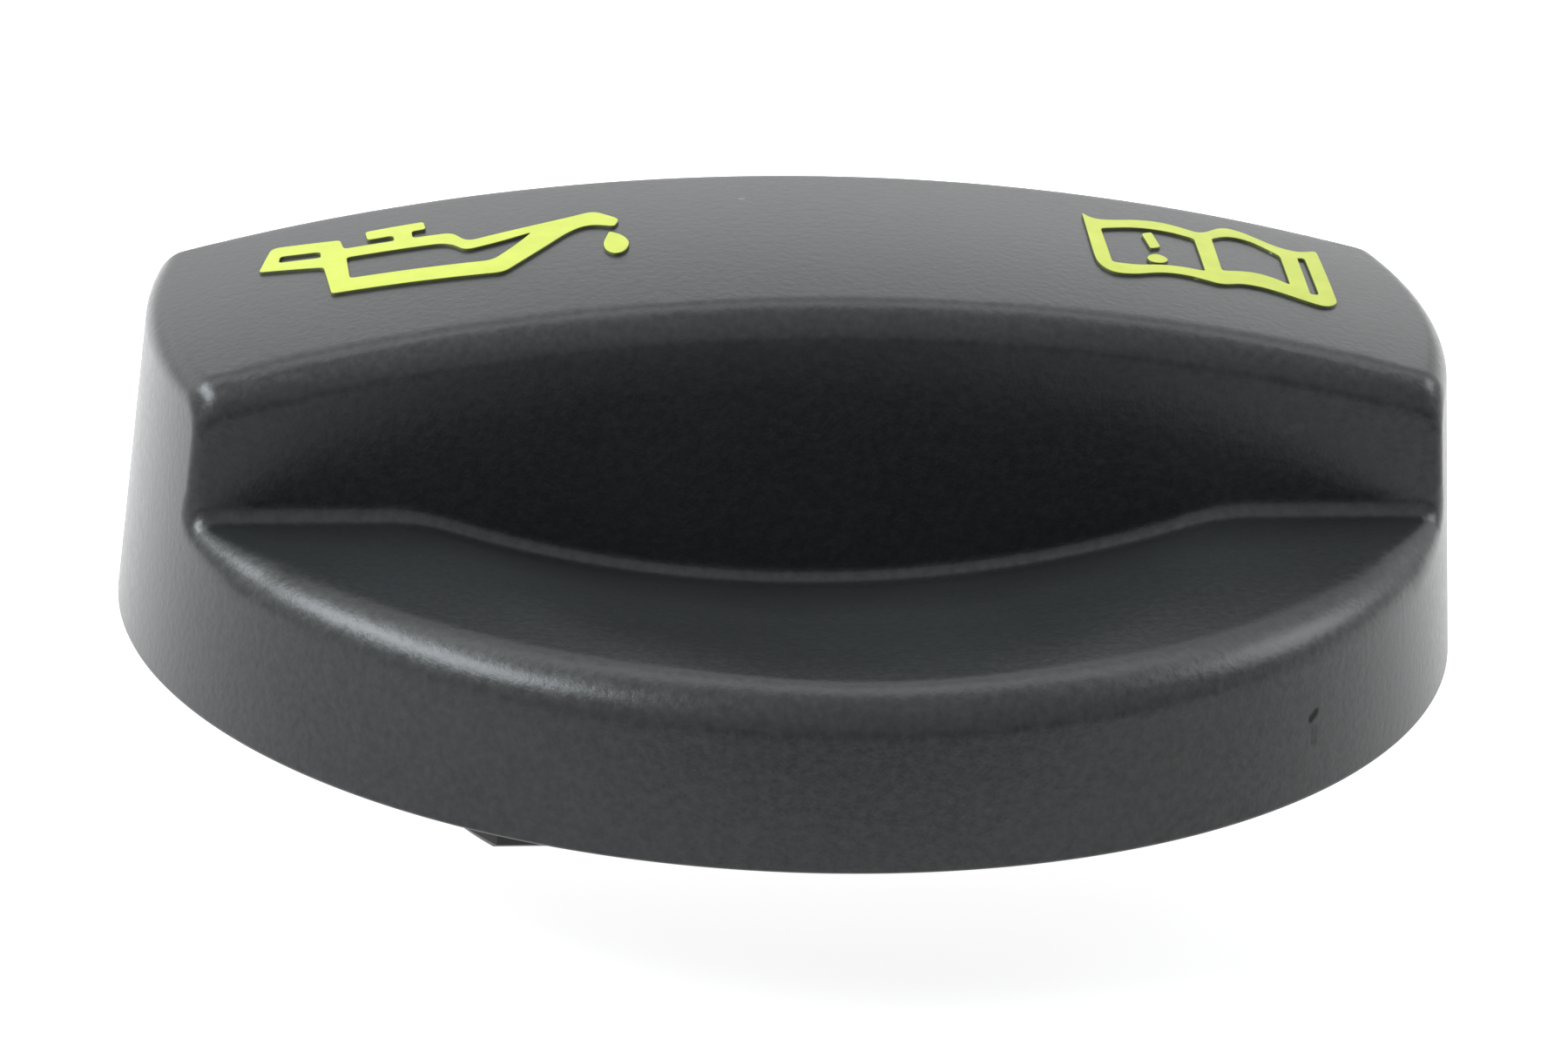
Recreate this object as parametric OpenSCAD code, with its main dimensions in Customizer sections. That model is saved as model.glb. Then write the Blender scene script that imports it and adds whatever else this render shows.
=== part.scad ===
// Oil filler cap for a car engine: a drum-shaped cover with a domed grip bar across it,
// a bayonet insert that clips in from below, and a flat rubber ring that seals on the filler neck.
// The cap stands on the lower end of its stem. The grip bar runs along X, and +Z is up.

/* [Drum] */
// Outside diameter at the lower edge of the skirt
drum_d = 66; // [62:0.5:80]
// Height of the drum, from its lower edge to the flat shoulder
drum_h = 8.9; // [8:0.1:14]
// Inward lean of the drum's side, in degrees
drum_draft = 4.1; // [1:0.1:7]
// Radius of the shoulder's outer edge
shoulder_r = 2.2; // [0.8:0.1:2.8]
// Thickness of the moulded wall
wall = 2.2; // [1.6:0.1:2.6]

/* [Grip bar] */
// Width of the bar between its two flat sides
bar_w = 20.3; // [16:0.1:26]
// Height of the bar's crown above the drum's lower edge
bar_h = 20.1; // [17:0.1:28]
// Radius of the domed crown
crown_r = 114; // [80:1:300]
// Radius of the crown's edges along the bar's flat sides
bar_edge_r = 1.7; // [0.8:0.1:2.5]
// Radius of the crown's edges at the ends of the bar
bar_end_r = 1.0; // [0.5:0.1:2]
// Radius of the hollow fillet at the foot of the bar
bar_foot_r = 0.8; // [0.5:0.1:2.5]
// Thickness of the stiffening ribs across the bar's hollow
bar_rib_t = 1.4; // [1:0.1:2]
// Distance between those ribs
bar_rib_pitch = 12; // [8:0.5:16]
// Number of those ribs
bar_ribs = 3; // [1:1:4]

/* [Finger recess] */
// Depth of the scoop at the foot of the bar, below the shoulder
scoop_depth = 3.4; // [1:0.1:3.8]
// Radius of the scoop where it meets the bar
scoop_r = 60; // [45:1:90]

/* [Cover underside] */
// Width of the channel between the skirt and the clip wall
channel_w = 3.8; // [3:0.1:5]
// Thickness of the round clip wall that holds the insert
clip_t = 1.8; // [1.2:0.1:2.4]
// How far the clip wall's bead grips over the insert's rim
clip_grip = 0.5; // [0.3:0.05:0.7]
// Height of the clip wall's bead
clip_bead_h = 0.7; // [0.5:0.1:1]
// Thickness of the ribs between the clip wall and the skirt
skirt_rib_t = 1.3; // [0.8:0.1:2]
// Number of those ribs
skirt_ribs = 12; // [6:1:16]
// How far those ribs stop above the drum's lower edge
skirt_rib_rise = 1.6; // [0.5:0.1:3]

/* [Bayonet insert] */
// Thickness of the insert's plate
plate_t = 1.6; // [1.2:0.1:2]
// Thickness of the stem's wall
stem_wall = 2.3; // [1.6:0.1:3]
// How far the stem reaches below the drum's lower edge
stem_drop = 8.6; // [7.5:0.1:14]
// How far each bayonet lug stands out from the stem
lug_reach = 5.5; // [4:0.1:6.5]
// Width of each lug
lug_w = 20.6; // [12:0.1:21]
// Height of each lug at its full end
lug_h = 2.8; // [2.2:0.1:3.4]
// Chamfer round the lower edge of each lug
lug_chamfer = 0.5; // [0.2:0.1:0.8]
// Length of the ramp on the end of the lug that goes in first
ramp_l = 5; // [2:0.5:8]
// Height lost over that ramp
ramp_drop = 1; // [0.2:0.1:1.2]
// Number of keys that stop the insert turning in the cover
keys = 8; // [4:1:10]
// Width of each key
key_w = 3; // [2:0.1:4]
// How far each key stands into the insert's plate
key_depth = 1.3; // [0.8:0.1:1.6]

/* [Sealing ring] */
// How far the ring's outer edge lies inside the edge of the insert's plate
seal_edge = 4; // [3.7:0.1:5.5]
// Width of the ring, from its outer edge to its hole
seal_w = 8.05; // [6:0.05:10]
// Thickness of the ring's flat body
seal_t = 1.8; // [1.2:0.1:2.2]
// Radius of the two sealing beads under the ring
seal_bead_r = 0.4; // [0.2:0.05:0.6]
// Distance from each edge of the ring to its nearest bead
seal_bead_in = 1.8; // [1:0.1:3]
// Thickness of the insert's lip round the ring
seal_lip_t = 1.2; // [0.8:0.1:1.6]
// How far that lip reaches down beside the ring
seal_lip_h = 1.0; // [0.5:0.1:1.2]

/* [Fits] */
// Gap between the insert and the cover around it
insert_gap = 0.2; // [0.1:0.05:0.3]
// Gap between the sealing ring and what it sits round
seal_gap = 0.15; // [0.1:0.05:0.3]
// Play between the clip wall's bead and the underside of the insert's plate
clip_play = 0.05; // [0.02:0.01:0.15]

/* [Hidden] */
$fn = 128;
// Facets of a full circle of the crown, which is far larger than the rest
crown_fn = 720;

// Overlap that joins shapes, and overshoot that clears a cut
lap = 0.5;
over = 1;
// A blend's arc runs this far past the face that it meets, so that the two cross cleanly
bite = 0.003;

skirt_z = stem_drop;
shoulder_z = skirt_z + drum_h;
crown_z = skirt_z + bar_h;
crown_centre_z = crown_z - crown_r;
drum_r = drum_d/2;
bar_y = bar_w/2;

// Radius of the drum's tapered side at height z
function side_r(z) = drum_r - (z - skirt_z)*tan(drum_draft);
// Height of the domed crown at radius r
function dome_z(r) = crown_centre_z + sqrt(crown_r*crown_r - r*r);

// Where the tapered side and the crown meet, found in three steps
end_z1 = dome_z(side_r(crown_z));
end_z2 = dome_z(side_r(end_z1));
end_z = dome_z(side_r(end_z2));
end_r = side_r(end_z);
end_slope = asin(end_r/crown_r);

// Where the shoulder's flat face gives way to its rounded edge
shoulder_in_r = side_r(shoulder_z) - shoulder_r/tan(45 + drum_draft/2);

// The scoop is a cone that lies along Y and runs out at the shoulder's rounded edge
scoop_tilt = atan(scoop_depth/(shoulder_in_r - bar_y));
scoop_axis_z = shoulder_z - scoop_depth + scoop_r;
function scoop_at(y) = scoop_r - (y - bar_y)*tan(scoop_tilt);
// The moulded wall under the scoop, measured straight down
scoop_wall = wall/cos(scoop_tilt);
inner_bar_y = bar_y - wall;
ceiling_z = shoulder_z - wall;

// The insert's plate lies just under the lowest part of the wall round the scoops
plate_top_z = shoulder_z - scoop_depth - wall*tan(scoop_tilt) - scoop_wall - insert_gap;
plate_z = plate_top_z - plate_t;

// Radii from the drum inwards: channel, clip wall, insert's plate, sealing ring, stem
clip_outer_r = drum_r - wall - channel_w;
clip_r = clip_outer_r - clip_t;
plate_r = clip_r - insert_gap;
seal_r = plate_r - seal_edge;
seal_in_r = seal_r - seal_w;
stem_r = seal_in_r - seal_gap;
clip_seat_r = plate_r - key_depth - lap;
bead_r = plate_r - clip_grip;
bead_top_z = plate_z - clip_play;
// The bead stays straight for a third of its height and then leans back
bead_lean_z = bead_top_z - clip_bead_h/3;
clip_foot_z = bead_top_z - clip_bead_h;

lug_r = stem_r + lug_reach;

seal_z = plate_z - seal_t;
lip_r = seal_r + seal_gap;

// Rounds the corner p of a flat outline. a and b are the directions of its two edges, away from p.
// Taken away, it leaves an arc of radius r between both edges.
module corner_cut(p, a, b, r) {
    opening = abs(a - b);
    middle = (a + b)/2;
    reach = (r - bite)/tan(opening/2);
    centre = p + (r - bite)/sin(opening/2)*[cos(middle), sin(middle)];
    difference() {
        polygon([
            p + reach*[cos(a), sin(a)],
            p - over*[cos(middle), sin(middle)],
            p + reach*[cos(b), sin(b)],
            centre
        ]);
        translate(centre) circle(r = r);
    }
}

// Turns a shape that was revolved round Z so that its axis lies along +Y or -Y
module along_y(side) {
    rotate([side > 0 ? -90 : 90, 0, 0]) children();
}

// Draws a flat outline in the plane across the bar and carries it along the bar from x = -l/2 to l/2
module along_bar(l) {
    translate([-l/2, 0, 0]) rotate([90, 0, 90]) linear_extrude(l) children();
}

// The drum's tapered side carried up to the crown, with the bar's rounded ends
module round_blank() {
    rotate_extrude() difference() {
        polygon([
            [0, skirt_z],
            [drum_r, skirt_z],
            [end_r, end_z],
            [0, end_z + end_r*tan(end_slope)]
        ]);
        corner_cut([end_r, end_z], 180 - end_slope, 270 + drum_draft, bar_end_r);
    }
}

// A slice of the crown's sphere as wide as the bar, with rounded edges
module bar_slice() {
    edge_x = sqrt(crown_r*crown_r - bar_y*bar_y);
    edge_a = asin(bar_y/crown_r);
    translate([0, 0, crown_centre_z]) along_y(1) rotate_extrude() difference() {
        intersection() {
            translate([0, -bar_y]) square([crown_r + over, bar_w]);
            circle(r = crown_r, $fn = crown_fn);
        }
        corner_cut([edge_x, bar_y], 180, 270 + edge_a, bar_edge_r);
        corner_cut([edge_x, -bar_y], 180, 90 - edge_a, bar_edge_r);
    }
}

// The hollow fillets at the foot of the bar's flat sides
module foot_fillets() {
    size = bar_foot_r + lap;
    reach = bar_foot_r - bite;
    along_bar(drum_d) for (side = [-1, 1]) difference() {
        translate([side*(bar_y - lap + size/2), shoulder_z - lap + size/2]) square(size, center = true);
        translate([side*(bar_y + reach), shoulder_z + reach]) circle(r = bar_foot_r);
    }
}

// One finger scoop, with its own rounded foot at the bar
module scoop_cut(side) {
    far = drum_r + over;
    translate([0, 0, scoop_axis_z]) along_y(side) rotate_extrude() difference() {
        polygon([[0, bar_y], [scoop_r, bar_y], [scoop_at(far), far], [0, far]]);
        corner_cut([scoop_r, bar_y], 180, 90 + scoop_tilt, bar_foot_r);
    }
}

// What is taken off to round the shoulder's outer edge on one side of the bar
module shoulder_cut(side) {
    intersection() {
        rotate_extrude() {
            corner_cut([side_r(shoulder_z), shoulder_z], 180, 270 + drum_draft, shoulder_r);
            translate([shoulder_in_r, shoulder_z]) square([drum_r - shoulder_in_r, bar_foot_r + over]);
        }
        translate([-drum_d, side > 0 ? bar_y : -bar_y - drum_d, skirt_z]) cube([2*drum_d, drum_d, bar_h]);
    }
}

// The cover's outer form, before it is hollowed
module cover_form() {
    difference() {
        intersection() {
            round_blank();
            union() {
                translate([-drum_d, -drum_d, 0]) cube([2*drum_d, 2*drum_d, shoulder_z]);
                bar_slice();
                foot_fillets();
            }
        }
        for (side = [-1, 1]) {
            scoop_cut(side);
            shoulder_cut(side);
        }
    }
}

// The wall that follows one scoop on the inside
module scoop_wall_form(side) {
    far = drum_r + over;
    translate([0, 0, scoop_axis_z]) along_y(side) rotate_extrude() polygon([
        [0, inner_bar_y],
        [scoop_at(inner_bar_y) + scoop_wall, inner_bar_y],
        [scoop_at(far) + scoop_wall, far],
        [0, far]
    ]);
}

// The ribs between the clip wall and the skirt
module skirt_rib_plates() {
    start = clip_outer_r - lap;
    for (i = [0:skirt_ribs - 1]) rotate(i*360/skirt_ribs)
        translate([start, -skirt_rib_t/2, skirt_z + skirt_rib_rise])
            cube([drum_r - start, skirt_rib_t, drum_h]);
}

// The ribs across the bar's hollow
module bar_rib_plates() {
    l = 2*(inner_bar_y + lap);
    for (i = [0:bar_ribs - 1]) {
        x = (i - (bar_ribs - 1)/2)*bar_rib_pitch;
        translate([x - bar_rib_t/2, -l/2, plate_top_z + insert_gap]) cube([bar_rib_t, l, bar_h]);
    }
}

// The hollow inside the cover: its outer form drawn in by the wall, less the ribs
module cover_hollow() {
    foot = skirt_z - over;
    difference() {
        intersection() {
            rotate_extrude() intersection() {
                polygon([
                    [0, foot],
                    [side_r(foot) - wall, foot],
                    [side_r(crown_z) - wall, crown_z],
                    [0, crown_z]
                ]);
                translate([0, crown_centre_z]) circle(r = crown_r - wall, $fn = crown_fn);
            }
            union() {
                translate([-drum_d, -drum_d, 0]) cube([2*drum_d, 2*drum_d, ceiling_z]);
                translate([-drum_d, -inner_bar_y, 0]) cube([2*drum_d, 2*inner_bar_y, crown_z]);
            }
        }
        for (side = [-1, 1]) scoop_wall_form(side);
        skirt_rib_plates();
        bar_rib_plates();
    }
}

// The round wall that the insert clips into: a seat above its plate and a bead under its rim
module clip_wall() {
    rotate_extrude() polygon([
        [clip_seat_r, plate_top_z],
        [clip_r, plate_top_z],
        [clip_r, bead_top_z],
        [bead_r, bead_top_z],
        [bead_r, bead_lean_z],
        [clip_r, clip_foot_z],
        [clip_outer_r, clip_foot_z],
        [clip_outer_r, ceiling_z + lap],
        [clip_seat_r, ceiling_z + lap]
    ]);
}

// Places one shape at each key round the insert's rim
module each_key() {
    for (i = [0:keys - 1]) rotate((i + 0.5)*360/keys) children();
}

module grip_cover() {
    color([0.17, 0.18, 0.18]) {
        difference() {
            cover_form();
            cover_hollow();
        }
        clip_wall();
        each_key() translate([plate_r - key_depth, -key_w/2, plate_z])
            cube([key_depth + insert_gap + lap, key_w, plate_t + lap]);
    }
}

// One lug with its outer end along +X. Its ramp faces -Y, the way that it turns to close.
module lug() {
    w = lug_w/2;
    intersection() {
        along_bar(2*(lug_r + over)) polygon([
            [-w + 2*lug_chamfer, 0],
            [w - 2*lug_chamfer, 0],
            [w, lug_chamfer],
            [w, lug_h],
            [-w + ramp_l, lug_h],
            [-w, lug_h - ramp_drop],
            [-w, lug_chamfer]
        ]);
        rotate_extrude() polygon([
            [0, 0],
            [lug_r - lug_chamfer, 0],
            [lug_r, lug_chamfer],
            [lug_r, lug_h + over],
            [0, lug_h + over]
        ]);
        translate([0, -lug_r, -over]) cube([2*lug_r, 2*lug_r, lug_h + 2*over]);
    }
}

module bayonet_insert() {
    notch_r = plate_r - key_depth - insert_gap;
    notch_w = key_w + 2*insert_gap;
    color([0.11, 0.11, 0.11]) difference() {
        union() {
            translate([0, 0, plate_z]) cylinder(r = plate_r, h = plate_t);
            cylinder(r = stem_r, h = plate_z + lap);
            for (turn = [0, 180]) rotate(turn) lug();
            rotate_extrude() translate([lip_r, plate_z - seal_lip_h])
                square([seal_lip_t, seal_lip_h + lap]);
        }
        translate([0, 0, -over]) cylinder(r = stem_r - stem_wall, h = plate_z + over);
        each_key() translate([notch_r, -notch_w/2, plate_z - over])
            cube([plate_r - notch_r + over, notch_w, plate_t + 2*over]);
    }
}

module sealing_ring() {
    color([0.06, 0.06, 0.06]) rotate_extrude() {
        translate([seal_in_r, seal_z]) square([seal_r - seal_in_r, seal_t]);
        for (r = [seal_in_r + seal_bead_in, seal_r - seal_bead_in]) translate([r, seal_z])
            circle(r = seal_bead_r);
    }
}

grip_cover();
bayonet_insert();
sealing_ring();
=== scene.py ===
# Oil filler cap: dresses the CAD frame with smooth moulded meshes, materials, lights and a camera.
# Sizes are in millimetres until a mesh is made, where they become metres.

import math

import bmesh
import bpy
import numpy as np
from mathutils import Matrix, Vector


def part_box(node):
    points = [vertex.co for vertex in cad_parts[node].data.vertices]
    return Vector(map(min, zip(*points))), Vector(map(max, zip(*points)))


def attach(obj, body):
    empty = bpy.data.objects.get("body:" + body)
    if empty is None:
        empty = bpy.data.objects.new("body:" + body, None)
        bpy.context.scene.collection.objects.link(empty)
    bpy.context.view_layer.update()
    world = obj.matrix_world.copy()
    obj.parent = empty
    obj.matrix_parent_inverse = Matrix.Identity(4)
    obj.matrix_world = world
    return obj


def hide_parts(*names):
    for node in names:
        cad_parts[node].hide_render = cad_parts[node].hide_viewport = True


MM = 0.001

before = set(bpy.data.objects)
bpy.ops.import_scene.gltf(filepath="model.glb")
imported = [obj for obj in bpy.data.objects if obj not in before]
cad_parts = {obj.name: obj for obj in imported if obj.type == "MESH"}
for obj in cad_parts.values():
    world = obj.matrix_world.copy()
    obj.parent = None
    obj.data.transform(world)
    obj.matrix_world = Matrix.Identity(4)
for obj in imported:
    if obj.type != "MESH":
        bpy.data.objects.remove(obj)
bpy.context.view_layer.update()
cover_low, cover_high = [[v / MM for v in corner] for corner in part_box("grip_cover")]

# Cover, from the frame
SKIRT_Z = cover_low[2]
CROWN_Z = cover_high[2]
DRUM_R = (cover_high[0] - cover_low[0]) / 2

# Cover, as the CAD has it
DRUM_H = 8.9
DRAFT = math.radians(4.1)
WALL = 2.2
SHOULDER_R = 2.2
# The shoulder's radius tightens to this where it runs out at the bar
TIGHT_SHOULDER_R = 0.9
BAR_Y = 10.15
BAR_EDGE_R = 1.7
BAR_END_R = 1.0
BAR_FOOT_R = 0.8
CROWN_R = 114
SCOOP_DEPTH = 3.4
SCOOP_R = 60
SCOOP_BLEND = 0.55
SKIRT_EDGE_R = 0.35
# Radius of the upright edges where the bar's flat sides meet its ends
CORNER_R = 0.5
# The shoulder's radius grows from tight to full over these distances from the bar's side
TIGHT_SPAN = (0.3, 5.5)
# The corner's radius takes over from the shoulder's over these heights above the shoulder
CORNER_SPAN = (0.1, 1.5)
# The corner's radius grows to the bar end's over these depths below the crown
CROWN_SPAN = (6.8, 5.4)
SHOULDER_Z = SKIRT_Z + DRUM_H
CROWN_CENTRE_Z = CROWN_Z - CROWN_R


def side_radius(z):
    """Radius of the drum's tapered side at height z."""
    return DRUM_R - (z - SKIRT_Z) * math.tan(DRAFT)


SHOULDER_IN_R = side_radius(SHOULDER_Z) - SHOULDER_R / math.tan(math.pi / 4 + DRAFT / 2)
SCOOP_TILT = math.atan(SCOOP_DEPTH / (SHOULDER_IN_R - BAR_Y))
SCOOP_AXIS_Z = SHOULDER_Z - SCOOP_DEPTH + SCOOP_R


def crown_height(x, y):
    """Height of the domed crown over a point of the plan."""
    return CROWN_CENTRE_Z + np.sqrt(CROWN_R**2 - x**2 - y**2)


def rounded_and(a, b, r):
    """Distance to the common part of two solids, its edge rounded to radius r."""
    return np.minimum(-r, np.maximum(a, b)) + np.hypot(np.maximum(a + r, 0), np.maximum(b + r, 0))


def rounded_or(a, b, r):
    """Distance to two solids together, the corner between them filled to radius r."""
    return np.maximum(r, np.minimum(a, b)) - np.hypot(np.maximum(r - a, 0), np.maximum(r - b, 0))


def soft_max(a, b, k):
    """The larger of two distances, eased over a difference of k."""
    h = np.maximum(k - np.abs(a - b), 0) / k
    return np.maximum(a, b) + h * h * k / 4


def side_edge_radius(across, z):
    """Radius of the edge round the drum's side: wide on the shoulder, narrow up the corners, wider above."""
    shoulder = np.interp(across - BAR_Y, TIGHT_SPAN, [TIGHT_SHOULDER_R, SHOULDER_R])
    upper = np.interp(z, [CROWN_Z - depth for depth in CROWN_SPAN], [CORNER_R, BAR_END_R])
    share = np.interp(z, [SHOULDER_Z + height for height in CORNER_SPAN], [1, 0])
    return share * shoulder + (1 - share) * upper


def cover_distance(x, y, z):
    """About how far a point lies outside the cover's outer form, negative inside."""
    across = np.abs(y)
    side = (np.hypot(x, y) - side_radius(z)) * math.cos(DRAFT)
    crown = np.sqrt(x**2 + y**2 + (z - CROWN_CENTRE_Z) ** 2) - CROWN_R
    bar = rounded_and(across - BAR_Y, crown, BAR_EDGE_R)
    scoop = SCOOP_R - (across - BAR_Y) * math.tan(SCOOP_TILT) - np.hypot(x, z - SCOOP_AXIS_Z)
    floor = soft_max(z - SHOULDER_Z, scoop, SCOOP_BLEND)
    body = rounded_or(bar, floor, BAR_FOOT_R)
    return rounded_and(side, body, side_edge_radius(across, z))


# Tracing of a section: how far below the skirt its rays start, their number and length, and how often
# each is halved
EYE_DEPTH = 4.6
RAYS = 1100
RAY_LENGTH = 80.0
HALVINGS = 34


def trace_section(angle):
    """The cover's outline in the upright half-plane at an angle from X, from the crown down to the skirt.

    The form shows its whole outside to one point on the axis, so each ray from there meets it once.
    """
    eye_z = SKIRT_Z - EYE_DEPTH
    last = math.atan2(SKIRT_Z + SKIRT_EDGE_R - eye_z, DRUM_R)
    tilt = np.linspace(math.pi / 2, last, RAYS)
    c, s = math.cos(angle), math.sin(angle)
    near = np.zeros_like(tilt)
    far = np.full_like(tilt, RAY_LENGTH)
    for _ in range(HALVINGS):
        mid = (near + far) / 2
        r, z = mid * np.cos(tilt), eye_z + mid * np.sin(tilt)
        inside = cover_distance(r * c, r * s, z) < 0
        near = np.where(inside, mid, near)
        far = np.where(inside, far, mid)
    return near * np.cos(tilt), eye_z + near * np.sin(tilt)


# Rows of the mesh on each side of an edge, and between edges on the crown, the wall, the floor and the side
EDGE_ROWS = 9
FACE_ROWS = [24, 12, 18, 8]
# How far an edge's own rows reach, at most and as a share of the face, and the least width of a face
EDGE_REACH = 2.0
EDGE_SHARE = 0.42
LEAST_FACE = 2.6
# Depth below the crown at which the edge at the bar's ends is over
END_EDGE_DEPTH = 4.5
# Keeps the section along X from a division by zero
LEAST_SINE = 1e-6


def section_rows(angle):
    """Points (r, z) of one section, spaced so that its edges get most of them."""
    r, z = trace_section(angle)
    run = np.concatenate([[0], np.cumsum(np.hypot(np.diff(r), np.diff(z)))])

    def place_of(pr, pz):
        return run[np.argmin((r - pr) ** 2 + (z - pz) ** 2)]

    rim_r = side_radius(SHOULDER_Z)
    wall_r = BAR_Y / max(math.sin(angle), LEAST_SINE)
    if wall_r < rim_r:
        edge = place_of(wall_r, crown_height(wall_r, 0))
        along = wall_r * math.cos(angle)
        foot = place_of(wall_r, min(SHOULDER_Z, SCOOP_AXIS_Z - math.sqrt(SCOOP_R**2 - along**2)))
    else:
        end_z = CROWN_Z - END_EDGE_DEPTH
        edge = place_of(side_radius(end_z), end_z)
        foot = run[-1]
    shoulder = place_of(rim_r, SHOULDER_Z)
    foot = min(foot, shoulder - LEAST_FACE)
    edge = min(edge, foot - LEAST_FACE)
    stops = [0, edge, foot, shoulder, run[-1]]
    spans = []
    for i, (start, stop) in enumerate(zip(stops[:-1], stops[1:])):
        reach = min(EDGE_REACH, EDGE_SHARE * (stop - start))
        lead = 0 if i == 0 else reach
        tail = 0 if i == len(FACE_ROWS) - 1 else reach
        if lead:
            spans.append((start, start + lead, EDGE_ROWS))
        spans.append((start + lead, stop - tail, FACE_ROWS[i]))
        if tail:
            spans.append((stop - tail, stop, EDGE_ROWS))
    at = np.concatenate([[0.0]] + [np.linspace(start, stop, count + 1)[1:] for start, stop, count in spans])
    return np.interp(at, run, r), np.interp(at, run, z)


# Columns of the mesh in a quarter turn, and how many more of them stand at the bar's corner, over what spread
QUARTER_COLUMNS = 136
CORNER_CROWDING = 2.6
CORNER_SPREAD = math.radians(2.6)
ANGLE_SAMPLES = 4001


def quarter_angles(count):
    """Angles from 0 to 90 degrees, closer together where the bar's corner stands."""
    fine = np.linspace(0, math.pi / 2, ANGLE_SAMPLES)
    corner = math.asin(BAR_Y / side_radius(SHOULDER_Z))
    density = 1 + CORNER_CROWDING * np.exp(-(((fine - corner) / CORNER_SPREAD) ** 2))
    total = np.concatenate([[0], np.cumsum((density[1:] + density[:-1]) / 2)])
    return np.interp(np.linspace(0, total[-1], count + 1), total, fine)


def arc(cr, cz, radius, start, stop, count):
    """Points of an arc in the upright half-plane, with angles in degrees."""
    t = np.radians(np.linspace(start, stop, count + 1))
    return [(cr + radius * math.cos(a), cz + radius * math.sin(a)) for a in t]


# Inside of the cover: the clip wall, its bead and the seat of the insert's plate
CLIP_R = 25.2
CLIP_OUTER_R = 27.0
CLIP_SEAT_R = 23.2
CLIP_FOOT_Z = SKIRT_Z + 0.348
CLIP_FOOT_R = 0.25
CLIP_LEAD_IN = 0.1
BEAD_R = 24.5
BEAD_RISE = 0.45
PLATE_Z = SKIRT_Z + 1.098
PLATE_T = 1.6
PLATE_GAP = 0.05
PLATE_TOP_Z = PLATE_Z + PLATE_T
CEILING_Z = SHOULDER_Z - WALL
CEILING_FILLET_R = 0.8
CLIP_FILLET_R = 0.6


def underside_profile():
    """Points (r, z) from the skirt's edge up its inside, along the ceiling and round the clip wall."""
    skirt, ceiling, root, foot = SKIRT_EDGE_R, CEILING_FILLET_R, CLIP_FILLET_R, CLIP_FOOT_R
    skirt_in_r = DRUM_R - WALL
    ceiling_r = side_radius(CEILING_Z) - WALL
    under_plate_z = PLATE_Z - PLATE_GAP
    points = arc(DRUM_R - skirt, SKIRT_Z + skirt, skirt, 0, -90, 5)[1:]
    points += arc(skirt_in_r + skirt, SKIRT_Z + skirt, skirt, -90, -180, 4)
    points += arc(ceiling_r - ceiling, CEILING_Z - ceiling, ceiling, 0, 90, 5)
    points += arc(CLIP_OUTER_R + root, CEILING_Z - root, root, 90, 180, 5)
    points += arc(CLIP_OUTER_R - foot, CLIP_FOOT_Z + foot, foot, 0, -90, 3)
    points += [(CLIP_R + CLIP_LEAD_IN, CLIP_FOOT_Z), (BEAD_R, CLIP_FOOT_Z + BEAD_RISE)]
    points += [(BEAD_R, under_plate_z), (CLIP_R, under_plate_z)]
    points += [(CLIP_R, PLATE_TOP_Z), (CLIP_SEAT_R, PLATE_TOP_Z)]
    return points


def mesh_object(name, verts, faces):
    """A mesh object in metres from points in millimetres."""
    mesh = bpy.data.meshes.new(name)
    mesh.from_pydata((np.asarray(verts) * MM).tolist(), [], faces)
    mesh.validate()
    mesh.shade_smooth()
    obj = bpy.data.objects.new(name, mesh)
    bpy.context.scene.collection.objects.link(obj)
    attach(obj, "root")
    return obj


def make_cover():
    """The one-piece cover: sections fanned round the axis, closed at a pole above and below."""
    under_r, under_z = np.transpose(underside_profile())
    columns = []
    for angle in quarter_angles(QUARTER_COLUMNS):
        r, z = section_rows(angle)
        columns.append((angle, np.concatenate([r[1:], under_r]), np.concatenate([z[1:], under_z])))
    # The quarter is mirrored, and the half turned round, without the columns that are there already
    columns += [(math.pi - angle, r, z) for angle, r, z in columns[-2::-1]]
    columns += [(math.pi + angle, r, z) for angle, r, z in columns[1:-1]]
    rings = np.array([np.stack([r * math.cos(a), r * math.sin(a), z], axis=1) for a, r, z in columns])
    rows = rings.shape[1]
    verts = [(0, 0, CROWN_Z)] + rings.reshape(-1, 3).tolist() + [(0, 0, PLATE_TOP_Z)]
    bottom = len(verts) - 1
    faces = []
    for i in range(len(columns)):
        j = (i + 1) % len(columns)
        here, there = 1 + i * rows, 1 + j * rows
        faces.append((0, here, there))
        for k in range(rows - 1):
            faces.append((here + k, here + k + 1, there + k + 1, there + k))
        faces.append((here + rows - 1, bottom, there + rows - 1))
    return mesh_object("grip_cover_moulding", verts, faces)


# Ribs inside the skirt, and keys that stop the insert from turning
SKIRT_RIBS = 12
SKIRT_RIB_T = 1.3
SKIRT_RIB_RISE = 1.6
SKIRT_RIB_EDGE_R = 0.25
KEYS = 8
KEY_W = 3.0
KEY_R = 23.7
KEY_EDGE_R = 0.2
# Edges of the cover that turn by more than this stay sharp
SHARP_ANGLE = math.radians(38)
# How far ribs and keys run on into the wall or ceiling that carries them
ROOT = 0.5


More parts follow.
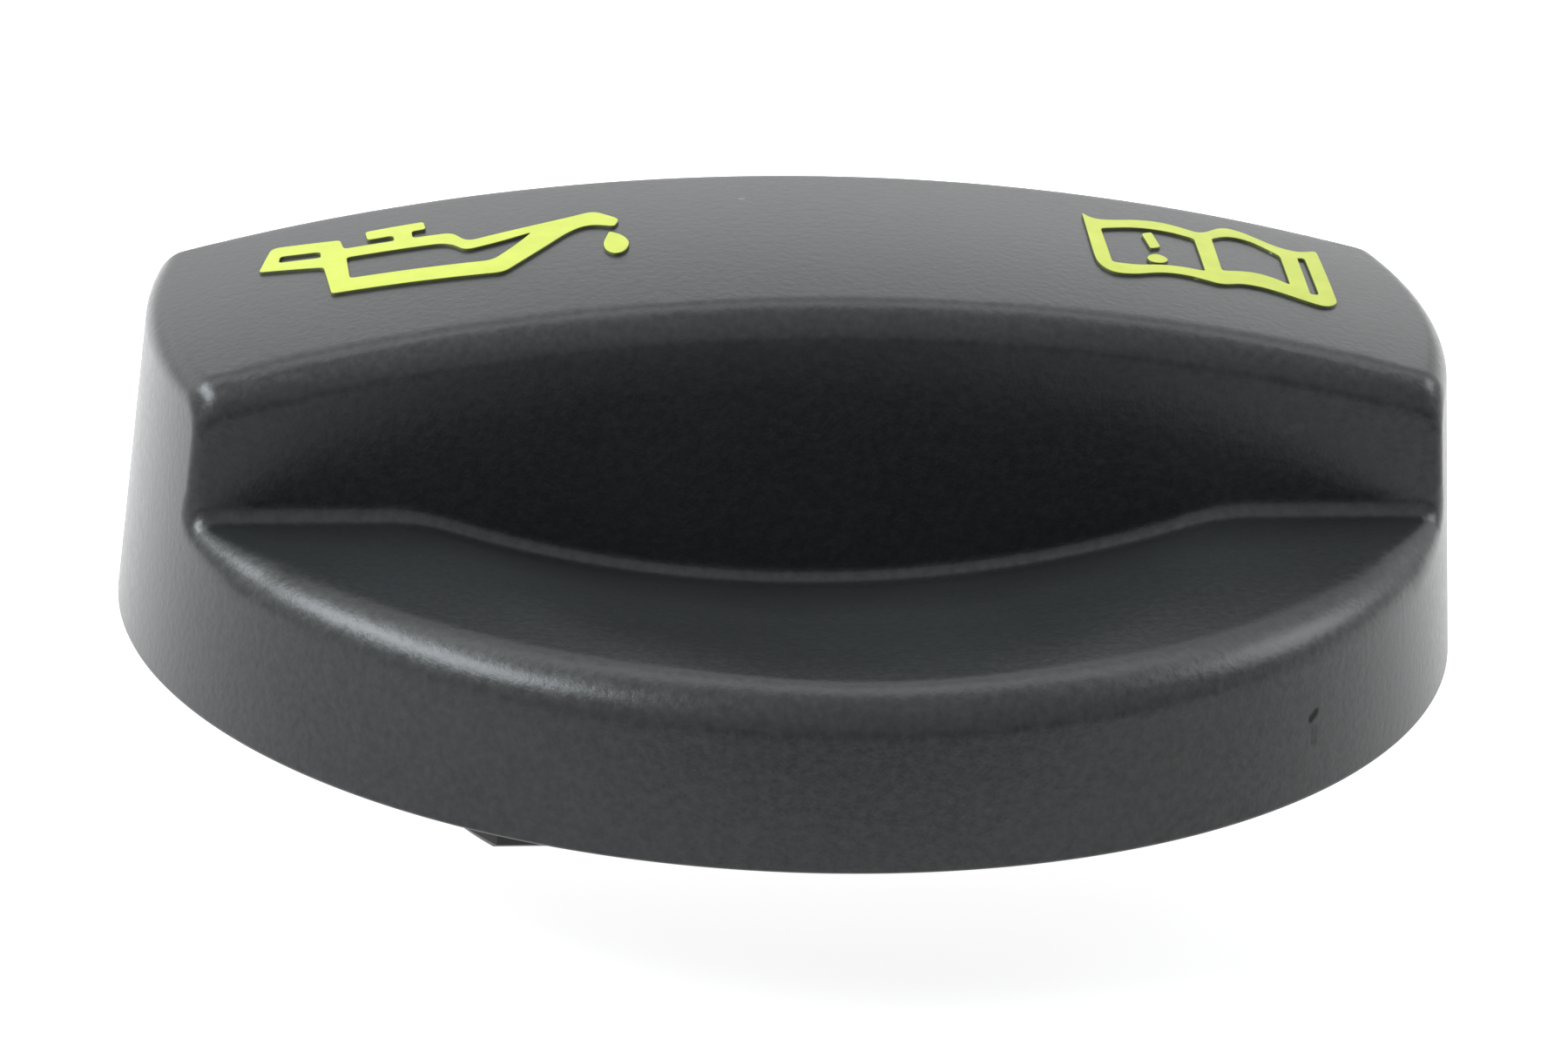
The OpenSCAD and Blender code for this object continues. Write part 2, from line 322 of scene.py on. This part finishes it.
def radial_block(angle, low_r, high_r, width, low_z, high_z, edge_r):
    """A block along a radius, its lower long edges rounded: its points and faces."""
    half = width / 2
    section = [(-half, high_z)]
    section += arc(-half + edge_r, low_z + edge_r, edge_r, 180, 270, 4)
    section += arc(half - edge_r, low_z + edge_r, edge_r, 270, 360, 4)
    section += [(half, high_z)]
    c, s = math.cos(angle), math.sin(angle)
    verts = [(r * c - t * s, r * s + t * c, z) for r in (low_r, high_r) for t, z in section]
    n = len(section)
    faces = [tuple(range(n - 1, -1, -1)), tuple(range(n, 2 * n))]
    faces += [(k, (k + 1) % n, n + (k + 1) % n, n + k) for k in range(n)]
    return verts, faces


def add_underside(cover):
    """Joins the skirt's ribs and the keys of the insert's seat to the cover."""
    rib_reach = (CLIP_OUTER_R - ROOT, side_radius(SKIRT_Z) - WALL + ROOT)
    rib = (*rib_reach, SKIRT_RIB_T, SKIRT_Z + SKIRT_RIB_RISE, CEILING_Z + ROOT, SKIRT_RIB_EDGE_R)
    key = (KEY_R, CLIP_R + ROOT, KEY_W, PLATE_Z, PLATE_TOP_Z + ROOT, KEY_EDGE_R)
    blocks = [radial_block(i * 2 * math.pi / SKIRT_RIBS, *rib) for i in range(SKIRT_RIBS)]
    blocks += [radial_block((i + 0.5) * 2 * math.pi / KEYS, *key) for i in range(KEYS)]
    verts, faces = [], []
    for block_verts, block_faces in blocks:
        faces += [tuple(len(verts) + k for k in face) for face in block_faces]
        verts += block_verts
    mesh = bpy.data.meshes.new("ribs")
    mesh.from_pydata((np.asarray(verts) * MM).tolist(), [], faces)
    ribs = bpy.data.objects.new("ribs", mesh)
    bpy.context.scene.collection.objects.link(ribs)
    join = cover.modifiers.new("join", "BOOLEAN")
    join.operation = "UNION"
    join.solver = "MANIFOLD"
    join.object = ribs
    bpy.context.view_layer.update()
    joined = bpy.data.meshes.new_from_object(cover.evaluated_get(bpy.context.evaluated_depsgraph_get()))
    cover.modifiers.clear()
    first = cover.data
    cover.data = joined
    joined.shade_smooth()
    joined.set_sharp_from_angle(angle=SHARP_ANGLE)
    bpy.data.meshes.remove(first)
    bpy.data.objects.remove(ribs)
    bpy.data.meshes.remove(mesh)


cover = make_cover()
add_underside(cover)
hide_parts("grip_cover")


# Marks on the crown: outlines in millimetres of the plan, read off the photograph through the camera.
# A corner is (x, y, cut): its rounding starts that far from the corner, or halfway along a shorter edge.
CRISP = 0.25
ROUND = 0.5
FLOWING = 9
MARK_RISE = 0.15
MARK_SINK = 0.25
MARK_BEVEL = 0.05
MARK_BEVEL_STEPS = 3
# Steps of the rounding of a corner, and the distance below which two of its points are one
CORNER_STEPS = 6
SAME_POINT = 1e-4
# Distance in millimetres below which points of a filled mark are joined
JOIN_DISTANCE = 0.001
# Faces of a mark whose normal points up by more than this carry its paint
PAINTED_SLOPE = 0.75
# Longest stretch of a mark that is laid on the crown's curve as a straight piece
MARK_STEP = 0.7

OIL_CAN_BODY = [
    (-26.4, 2.25, CRISP), (-25.5, 5.3, ROUND), (-22.2, 4.45, CRISP), (-22.15, 3.1, CRISP),
    (-19.7, 2.95, CRISP), (-19.7, 3.75, CRISP), (-20.95, 3.75, CRISP), (-20.95, 5, CRISP),
    (-18.05, 5.1, CRISP), (-18.05, 3.95, CRISP), (-18.75, 3.95, CRISP), (-18.8, 2.95, CRISP),
    (-16.9, 2.85, ROUND), (-16.3, 1.35, ROUND), (-13.9, 2.1, FLOWING), (-11.4, 2.95, FLOWING),
    (-9.85, 3.65, ROUND), (-8.7, 2.2, ROUND), (-9.1, 1.2, CRISP), (-10.2, 1.75, FLOWING),
    (-11.25, 1.15, FLOWING), (-12.75, -0.8, FLOWING), (-15.0, -3.35, ROUND), (-23.3, -2.55, CRISP),
    (-23.35, 1.05, CRISP),
]
OIL_CAN_SLOT = [(-25.2, 3.8, CRISP), (-23.3, 3.3, CRISP), (-23.35, 2.45, CRISP), (-25.35, 2.95, CRISP)]
OIL_CAN_INSIDE = [
    (-22.15, 1.8, CRISP), (-17.55, 1.55, ROUND), (-17.05, 1.15, CRISP), (-16.5, 0.15, ROUND),
    (-14.8, 0.65, FLOWING), (-13.15, 1.45, CRISP), (-14.1, -0.05, FLOWING), (-15.4, -1.65, ROUND),
    (-22.25, -1.05, CRISP),
]
OIL_DROP_BODY = [
    (-9.95, -1.05, ROUND), (-9.45, 0.55, CRISP), (-8.85, -0.05, FLOWING), (-8.6, -1.15, ROUND),
    (-8.95, -2.25, FLOWING), (-9.5, -2.55, ROUND), (-9.9, -2.05, FLOWING),
]
BOOK_BODY = [
    (14.7, 4.85, CRISP), (15.1, 4.05, FLOWING), (15.9, 4.1, FLOWING), (17.6, 4.9, FLOWING),
    (18.8, 5.05, FLOWING), (19.8, 4.65, FLOWING), (20.65, 4.15, FLOWING), (21.9, 6, FLOWING),
    (22.75, 6.05, FLOWING), (23.65, 5.3, FLOWING), (24.5, 4.45, FLOWING), (25.6, 4.25, FLOWING),
    (26.75, 5.3, ROUND), (26.4, -2.65, ROUND), (25.7, -3.5, FLOWING), (24.9, -3.35, FLOWING),
    (23.7, -2.85, FLOWING), (22.6, -2.5, FLOWING), (21.5, -2.55, FLOWING), (20.5, -3.2, FLOWING),
    (19.6, -2.9, FLOWING), (18.8, -2.65, FLOWING), (17.5, -2.75, FLOWING), (16.0, -3.6, FLOWING),
    (14.9, -3.7, ROUND), (14.3, -2.75, FLOWING), (14.3, -1.05, FLOWING),
]
BOOK_LEFT_PAGE = [
    (15.3, 2.6, CRISP), (17.2, 3.55, FLOWING), (18.9, 3.65, FLOWING), (20.1, 3.15, CRISP),
    (19.85, -1.65, CRISP), (18.8, -1.55, FLOWING), (17.7, -1.65, FLOWING), (16.3, -2.25, FLOWING),
    (15.1, -2.25, CRISP),
]
BOOK_RIGHT_PAGE = [
    (21.1, 3.65, CRISP), (22.1, 4.65, FLOWING), (23.1, 4.55, FLOWING), (23.75, 3.9, FLOWING),
    (24.45, 2.95, CRISP), (24.2, -1.35, CRISP), (23.4, -0.75, FLOWING), (22.4, -0.5, FLOWING),
    (20.8, -1.15, CRISP),
]
BOOK_SLOT = [(25.4, 3.25, CRISP), (25.8, 3.45, CRISP), (25.55, -1.95, CRISP), (25.1, -2.15, CRISP)]
BOOK_BAR_BODY = [(17.35, 2.65, CRISP), (17.95, 3.1, CRISP), (18.05, 0.9, CRISP), (17.45, 0.45, CRISP)]
BOOK_DOT_BODY = [
    (17.0, -0.8, FLOWING), (17.65, -0.1, FLOWING), (18.25, -0.75, FLOWING), (17.8, -1.5, FLOWING),
    (17.1, -1.55, FLOWING),
]


def rounded_outline(corners):
    """Points of a closed outline with each corner replaced by a short parabola."""
    points = []
    for i, (x, y, cut) in enumerate(corners):
        here = Vector((x, y))
        to_last = Vector(corners[i - 1][:2]) - here
        to_next = Vector(corners[(i + 1) % len(corners)][:2]) - here
        start = here + to_last.normalized() * min(cut, to_last.length / 2)
        stop = here + to_next.normalized() * min(cut, to_next.length / 2)
        for k in range(CORNER_STEPS + 1):
            t = k / CORNER_STEPS
            point = start * (1 - t) ** 2 + here * 2 * t * (1 - t) + stop * t**2
            if not points or (point - points[-1]).length > SAME_POINT:
                points.append(point)
    if (points[0] - points[-1]).length < SAME_POINT:
        points.pop()
    return points


def filled_slab(name, outlines):
    """A flat mesh of the outlines, filled between the first and the others and given a small edge."""
    curve = bpy.data.curves.new(name, "CURVE")
    curve.dimensions = "2D"
    curve.fill_mode = "BOTH"
    curve.extrude = (MARK_RISE + MARK_SINK) / 2 - MARK_BEVEL
    curve.bevel_depth = MARK_BEVEL
    curve.bevel_resolution = MARK_BEVEL_STEPS
    curve.offset = -MARK_BEVEL
    for outline in outlines:
        points = rounded_outline(outline)
        spline = curve.splines.new("POLY")
        spline.points.add(len(points) - 1)
        spline.use_cyclic_u = True
        for point, place in zip(spline.points, points):
            point.co = (place.x, place.y, 0, 1)
    flat = bpy.data.objects.new(name, curve)
    bpy.context.scene.collection.objects.link(flat)
    bpy.context.view_layer.update()
    mesh = bpy.data.meshes.new_from_object(flat.evaluated_get(bpy.context.evaluated_depsgraph_get()))
    bpy.data.objects.remove(flat)
    bpy.data.curves.remove(curve)
    return mesh


def make_mark(name, *outlines):
    """A raised mark: a slab that is cut into short pieces and laid on the crown."""
    mesh = filled_slab(name, outlines)
    bm = bmesh.new()
    bm.from_mesh(mesh)
    bmesh.ops.remove_doubles(bm, verts=bm.verts, dist=JOIN_DISTANCE)
    for normal in (Vector((1, 0, 0)), Vector((0, 1, 0))):
        along = [v.co.dot(normal) for v in bm.verts]
        for at in np.arange(min(along) + MARK_STEP, max(along), MARK_STEP):
            geom = bm.verts[:] + bm.edges[:] + bm.faces[:]
            bmesh.ops.bisect_plane(bm, geom=geom, plane_co=normal * at, plane_no=normal)
    bm.normal_update()
    for face in bm.faces:
        face.material_index = 0 if face.normal.z > PAINTED_SLOPE else 1
    middle = (MARK_RISE - MARK_SINK) / 2
    for v in bm.verts:
        v.co.z += float(crown_height(v.co.x, v.co.y)) + middle
        v.co *= MM
    bm.to_mesh(mesh)
    bm.free()
    mesh.name = name
    obj = bpy.data.objects.new(name, mesh)
    bpy.context.scene.collection.objects.link(obj)
    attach(obj, "root")
    return obj


marks = [
    make_mark("mark_oil_can", OIL_CAN_BODY, OIL_CAN_SLOT, OIL_CAN_INSIDE),
    make_mark("mark_oil_drop", OIL_DROP_BODY),
    make_mark("mark_book", BOOK_BODY, BOOK_LEFT_PAGE, BOOK_RIGHT_PAGE, BOOK_SLOT),
    make_mark("mark_book_bar", BOOK_BAR_BODY),
    make_mark("mark_book_dot", BOOK_DOT_BODY),
]


def new_material(name):
    """A material with its Principled shader, ready for more nodes."""
    material = bpy.data.materials.new(name)
    material.use_nodes = True
    nodes, links = material.node_tree.nodes, material.node_tree.links
    return material, nodes, links, nodes["Principled BSDF"]


def add_noise(nodes, links, scale, detail=3.0, roughness=0.5):
    """Noise in the object's own metres."""
    place = nodes.new("ShaderNodeTexCoord")
    noise = nodes.new("ShaderNodeTexNoise")
    noise.inputs["Scale"].default_value = scale
    noise.inputs["Detail"].default_value = detail
    noise.inputs["Roughness"].default_value = roughness
    links.new(place.outputs["Object"], noise.inputs["Vector"])
    return noise


# Noise stays mostly between these values
NOISE_SPAN = (0.3, 0.7)


def add_tone(nodes, links, noise, low, high):
    """A colour that goes from one to another with a noise."""
    ramp = nodes.new("ShaderNodeValToRGB")
    links.new(noise.outputs["Fac"], ramp.inputs["Fac"])
    for element, at, colour in zip(ramp.color_ramp.elements, NOISE_SPAN, (low, high)):
        element.position = at
        element.color = (*colour, 1)
    return ramp.outputs["Color"]


def add_range(nodes, links, source, span, values, smooth=False):
    """A value that goes from one to another while a source crosses a span."""
    change = nodes.new("ShaderNodeMapRange")
    if smooth:
        change.interpolation_type = "SMOOTHSTEP"
    change.inputs["From Min"].default_value, change.inputs["From Max"].default_value = span
    change.inputs["To Min"].default_value, change.inputs["To Max"].default_value = values
    links.new(source, change.inputs["Value"])
    return change.outputs["Result"]


def add_math(nodes, links, operation, first, second):
    """A sum, product or the like of two sockets, or of a socket and a number."""
    result = nodes.new("ShaderNodeMath")
    result.operation = operation
    links.new(first, result.inputs[0])
    if isinstance(second, float):
        result.inputs[1].default_value = second
    else:
        links.new(second, result.inputs[1])
    return result.outputs["Value"]


def add_bump(nodes, links, shader, noise, strength, depth):
    """Moves a shader's normal by a noise, with its depth in millimetres."""
    bump = nodes.new("ShaderNodeBump")
    bump.inputs["Strength"].default_value = strength
    bump.inputs["Distance"].default_value = depth * MM
    links.new(noise.outputs["Fac"], bump.inputs["Height"])
    links.new(bump.outputs["Normal"], shader.inputs["Normal"])


# Share of a line's reach over which its mask is full
FULL_SHARE = 0.3


def line_mask(nodes, links, start, end, reach):
    """1 on a short line between two points in millimetres, fading to 0 at the reach."""
    start, along = Vector(start) * MM, (Vector(end) - Vector(start)) * MM
    place = nodes.new("ShaderNodeTexCoord")
    offset = nodes.new("ShaderNodeVectorMath")
    offset.operation = "SUBTRACT"
    offset.inputs[1].default_value = start
    links.new(place.outputs["Object"], offset.inputs[0])
    dot = nodes.new("ShaderNodeVectorMath")
    dot.operation = "DOT_PRODUCT"
    dot.inputs[1].default_value = along / along.length_squared
    links.new(offset.outputs["Vector"], dot.inputs[0])
    share = nodes.new("ShaderNodeClamp")
    links.new(dot.outputs["Value"], share.inputs["Value"])
    foot = nodes.new("ShaderNodeVectorMath")
    foot.operation = "SCALE"
    foot.inputs[0].default_value = along
    links.new(share.outputs["Result"], foot.inputs["Scale"])
    apart = nodes.new("ShaderNodeVectorMath")
    apart.operation = "DISTANCE"
    links.new(offset.outputs["Vector"], apart.inputs[0])
    links.new(foot.outputs["Vector"], apart.inputs[1])
    span = (FULL_SHARE * reach * MM, reach * MM)
    return add_range(nodes, links, apart.outputs["Value"], span, (1, 0), smooth=True)


def mix_over(nodes, links, under, mask, strength, colour):
    """Lays a colour over another where a mask is, at a strength."""
    mix = nodes.new("ShaderNodeMix")
    mix.data_type = "RGBA"
    links.new(add_math(nodes, links, "MULTIPLY", mask, strength), mix.inputs["Factor"])
    # A Mix node has its two colours at inputs 6 and 7 and the mixed one at output 2
    links.new(under, mix.inputs[6])
    mix.inputs[7].default_value = (*colour, 1)
    return mix.outputs[2]


def dim_by(nodes, links, value, mask, strength):
    """A value taken down by a strength where a mask is."""
    share = add_range(nodes, links, mask, (0, 1), (1, 1 - strength))
    return add_math(nodes, links, "MULTIPLY", value, share)


# Wear on the cover, and a painted shadow below the nick: start and end in millimetres, reach, strength and,
# for a scuff, its colour
NICK_AND_PAINTED_SHADOW = [
    ((22.0, -24.2, 12.68), (22.28, -23.95, 12.92), 0.33, 0.75),
    # Painted shadow below the nick: a fainter, longer darkening that also dulls the reflection
    ((22.2, -24.1, 11.5), (22.2, -24.1, 12.1), 0.4, 0.25),
]
# Colour of the nick, and of the painted shadow below it
NICK_AND_SHADOW_COLOUR = (0.002, 0.002, 0.002)
SCUFFS = [
    ((-2.4, 4.76, 28.6), (-2.3, 4.76, 28.6), 0.2, 0.8, (0.12, 0.12, 0.12)),
    ((22.8, -10.1, 21.95), (23.4, -10.1, 22.15), 0.32, 0.5, (0.05, 0.05, 0.05)),
    ((13.5, -10.1, 20.4), (13.65, -10.1, 20.45), 0.22, 0.35, (0.05, 0.05, 0.05)),
]


def cover_material():
    """Charcoal plastic with a fine moulded grain, a slight bloom, one nick with a painted shadow below it,
    and a few faint scuffs.
    """
    material, nodes, links, shader = new_material("charcoal_grained_plastic")
    bloom = add_noise(nodes, links, scale=90, detail=4)
    colour = add_tone(nodes, links, bloom, (0.016, 0.0175, 0.0182), (0.0214, 0.0234, 0.0244))
    for start, end, reach, strength, tone in SCUFFS:
        colour = mix_over(nodes, links, colour, line_mask(nodes, links, start, end, reach), strength, tone)
    grain = add_noise(nodes, links, scale=2400, detail=4, roughness=0.6)
    level = add_range(nodes, links, grain.outputs["Fac"], NOISE_SPAN, (0.4, 0.6))
    # The nick darkens and dulls the cover, and so does the painted shadow below it
    for start, end, reach, strength in NICK_AND_PAINTED_SHADOW:
        nick_and_shadow_mask = line_mask(nodes, links, start, end, reach)
        colour = mix_over(nodes, links, colour, nick_and_shadow_mask, strength, NICK_AND_SHADOW_COLOUR)
        level = dim_by(nodes, links, level, nick_and_shadow_mask, strength)
    links.new(colour, shader.inputs["Base Color"])
    links.new(level, shader.inputs["Specular IOR Level"])
    rough = add_range(nodes, links, grain.outputs["Fac"], NOISE_SPAN, (0.29, 0.37))
    links.new(rough, shader.inputs["Roughness"])
    add_bump(nodes, links, shader, grain, strength=0.5, depth=0.04)
    shader.inputs["IOR"].default_value = 1.44
    return material


def mark_material():
    """Lemon-green paint on the raised marks."""
    material, nodes, links, shader = new_material("lemon_green_paint")
    grain = add_noise(nodes, links, scale=700)
    tone = add_tone(nodes, links, grain, (0.47, 0.54, 0.06), (0.53, 0.6, 0.075))
    links.new(tone, shader.inputs["Base Color"])
    add_bump(nodes, links, shader, grain, strength=0.2, depth=0.02)
    shader.inputs["Roughness"].default_value = 0.45
    shader.inputs["Specular IOR Level"].default_value = 0.4
    return material


def dark_material(name, low, high, roughness, grain_scale):
    """Plain dark plastic, rubber or paint with a faint grain."""
    material, nodes, links, shader = new_material(name)
    grain = add_noise(nodes, links, grain_scale)
    links.new(add_tone(nodes, links, grain, low, high), shader.inputs["Base Color"])
    add_bump(nodes, links, shader, grain, strength=0.15, depth=0.02)
    shader.inputs["Roughness"].default_value = roughness
    return material


def dress(obj, *materials):
    """Gives an object its materials."""
    if obj.data.materials:
        obj.data.materials.clear()
    for material in materials:
        obj.data.materials.append(material)


dress(cover, cover_material())
paint = mark_material()
paint_edge = dark_material("olive_paint_edge", (0.07, 0.08, 0.02), (0.1, 0.115, 0.03), 0.5, 1500)
for mark in marks:
    dress(mark, paint, paint_edge)
moulding = dark_material("black_moulding", (0.016, 0.016, 0.017), (0.021, 0.021, 0.022), 0.5, 1500)
dress(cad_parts["bayonet_insert"], moulding)
rubber = dark_material("black_rubber", (0.01, 0.01, 0.01), (0.014, 0.014, 0.014), 0.75, 2200)
dress(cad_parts["sealing_ring"], rubber)


def add_seen(nodes, links, path):
    """1 for rays from the camera, a reflection or a transmission, else 0."""
    seen = add_math(nodes, links, "ADD", path.outputs["Is Camera Ray"], path.outputs["Is Glossy Ray"])
    seen = add_math(nodes, links, "ADD", seen, path.outputs["Is Transmission Ray"])
    seen.node.use_clamp = True
    return seen


# Half of the floor's width, in metres
FLOOR_HALF = 3.0
# Glow of the floor along Y, in metres: start and stop of each step, and the glow that it adds.
# It is dark far in front of the picture, bright where the drum's front mirrors it, and rises at the back.
FLOOR_STEPS = [(-0.088, -0.078, 1.4), (-0.052, -0.045, -0.49), (-0.03, 0.06, 0.85)]
# Least glow of the floor for the camera: white in the light, and a very light grey in the object's shadow
FLOOR_SHOWN = 0.91


def make_floor():
    """A white floor that keeps the object's shadow."""
    corners = [(-1, -1), (1, -1), (1, 1), (-1, 1)]
    mesh = bpy.data.meshes.new("floor")
    mesh.from_pydata([(x * FLOOR_HALF, y * FLOOR_HALF, 0) for x, y in corners], [], [(0, 1, 2, 3)])
    floor = bpy.data.objects.new("floor", mesh)
    bpy.context.scene.collection.objects.link(floor)
    material, nodes, links, shader = new_material("white_floor")
    shader.inputs["Base Color"].default_value = (0.3, 0.3, 0.3, 1)
    shader.inputs["Roughness"].default_value = 0.9
    shader.inputs["Specular IOR Level"].default_value = 0.0
    path = nodes.new("ShaderNodeLightPath")
    seen = add_seen(nodes, links, path)
    place = nodes.new("ShaderNodeTexCoord")
    parts = nodes.new("ShaderNodeSeparateXYZ")
    links.new(place.outputs["Object"], parts.inputs["Vector"])
    depth = parts.outputs["Y"]
    steps = [add_range(nodes, links, depth, step[:2], (0, step[2]), smooth=True) for step in FLOOR_STEPS]
    level = steps[0]
    for step in steps[1:]:
        level = add_math(nodes, links, "ADD", level, step)
    shown = nodes.new("ShaderNodeMix")
    links.new(path.outputs["Is Camera Ray"], shown.inputs["Factor"])
    links.new(level, shown.inputs["A"])
    links.new(add_math(nodes, links, "MAXIMUM", level, FLOOR_SHOWN), shown.inputs["B"])
    glow = add_math(nodes, links, "MULTIPLY", seen, shown.outputs["Result"])
    shader.inputs["Emission Color"].default_value = (1, 1, 1, 1)
    links.new(glow, shader.inputs["Emission Strength"])
    material.cycles.emission_sampling = "NONE"
    mesh.materials.append(material)


# Light of the world on the object, in front of it and behind it
WORLD_LIGHT = (0.0, 0.35)


def make_world():
    """White surroundings. As a source of light they are dark before the object and dim behind it."""
    world = bpy.data.worlds.new("studio")
    bpy.context.scene.world = world
    world.use_nodes = True
    nodes, links = world.node_tree.nodes, world.node_tree.links
    background = nodes["Background"]
    background.inputs["Color"].default_value = (1, 1, 1, 1)
    way = nodes.new("ShaderNodeTexCoord")
    parts = nodes.new("ShaderNodeSeparateXYZ")
    links.new(way.outputs["Generated"], parts.inputs["Vector"])
    strength = nodes.new("ShaderNodeMix")
    links.new(add_seen(nodes, links, nodes.new("ShaderNodeLightPath")), strength.inputs["Factor"])
    links.new(add_range(nodes, links, parts.outputs["Y"], (-1, 1), WORLD_LIGHT), strength.inputs["A"])
    strength.inputs["B"].default_value = 1.0
    links.new(strength.outputs["Result"], background.inputs["Strength"])


# Lamps: name, place and size in metres, power in watts and colour
SOFTBOXES = [
    ("left_light", (-0.58, -0.05, 0.57), (0.8, 0.28), 9.4, (0.92, 0.97, 1.0)),
    ("right_light", (0.65, 0.1, 0.45), (0.4, 0.35), 2.1, (0.93, 0.95, 1.0)),
    ("back_light", (-0.25, 0.88, 0.36), (1.7, 0.28), 1.3, (0.98, 0.99, 1.0)),
    ("top_light", (0.0, 0.24, 0.72), (1.1, 0.3), 1.85, (0.97, 0.99, 1.0)),
]


def add_softbox(name, place, size, power, colour):
    """A rectangular area lamp that faces the origin."""
    data = bpy.data.lights.new(name, "AREA")
    data.shape = "RECTANGLE"
    data.size, data.size_y = size
    data.energy = power
    data.color = colour
    lamp = bpy.data.objects.new(name, data)
    lamp.location = place
    aim = Vector((0, 0, 0)) - Vector(place)
    lamp.rotation_euler = aim.to_track_quat("-Z", "Y").to_euler()
    bpy.context.scene.collection.objects.link(lamp)


# The camera as the fit of the photograph gives it
VIEW_FROM = math.radians(8.7)
VIEW_DOWN = math.radians(22.05)
VIEW_ROLL = math.radians(2.84)
VIEW_DISTANCE = 16 * DRUM_R * MM
FOCAL_PX = 12211
PHOTO_WIDTH = 1800
SENSOR_WIDTH = 36
CENTRE_RIGHT_PX = 0.8
CENTRE_UP_PX = 100


def make_camera():
    """The camera looks past the middle of the skirt's edge, with the photograph's slight roll."""
    sin_a, cos_a = math.sin(VIEW_FROM), math.cos(VIEW_FROM)
    sin_e, cos_e = math.sin(VIEW_DOWN), math.cos(VIEW_DOWN)
    forward = Vector((sin_a * cos_e, cos_a * cos_e, -sin_e))
    right = Vector((cos_a, -sin_a, 0))
    up = Vector((sin_a * sin_e, cos_a * sin_e, cos_e))
    rolled_right = math.cos(VIEW_ROLL) * right + math.sin(VIEW_ROLL) * up
    rolled_up = math.cos(VIEW_ROLL) * up - math.sin(VIEW_ROLL) * right
    shift = rolled_up * CENTRE_UP_PX / FOCAL_PX + rolled_right * CENTRE_RIGHT_PX / FOCAL_PX
    aim = (forward + shift).normalized()
    side = aim.cross(rolled_up).normalized()
    top = side.cross(aim)
    data = bpy.data.cameras.new("camera")
    data.sensor_fit = "HORIZONTAL"
    data.sensor_width = SENSOR_WIDTH
    data.lens = FOCAL_PX / PHOTO_WIDTH * SENSOR_WIDTH
    camera = bpy.data.objects.new("camera", data)
    camera.matrix_world = Matrix((side, top, -aim)).transposed().to_4x4()
    camera.location = Vector((0, 0, SKIRT_Z * MM)) - VIEW_DISTANCE * forward
    bpy.context.scene.collection.objects.link(camera)
    bpy.context.scene.camera = camera


make_floor()
make_world()
for softbox in SOFTBOXES:
    add_softbox(*softbox)
make_camera()
bpy.context.scene.view_settings.view_transform = "Standard"
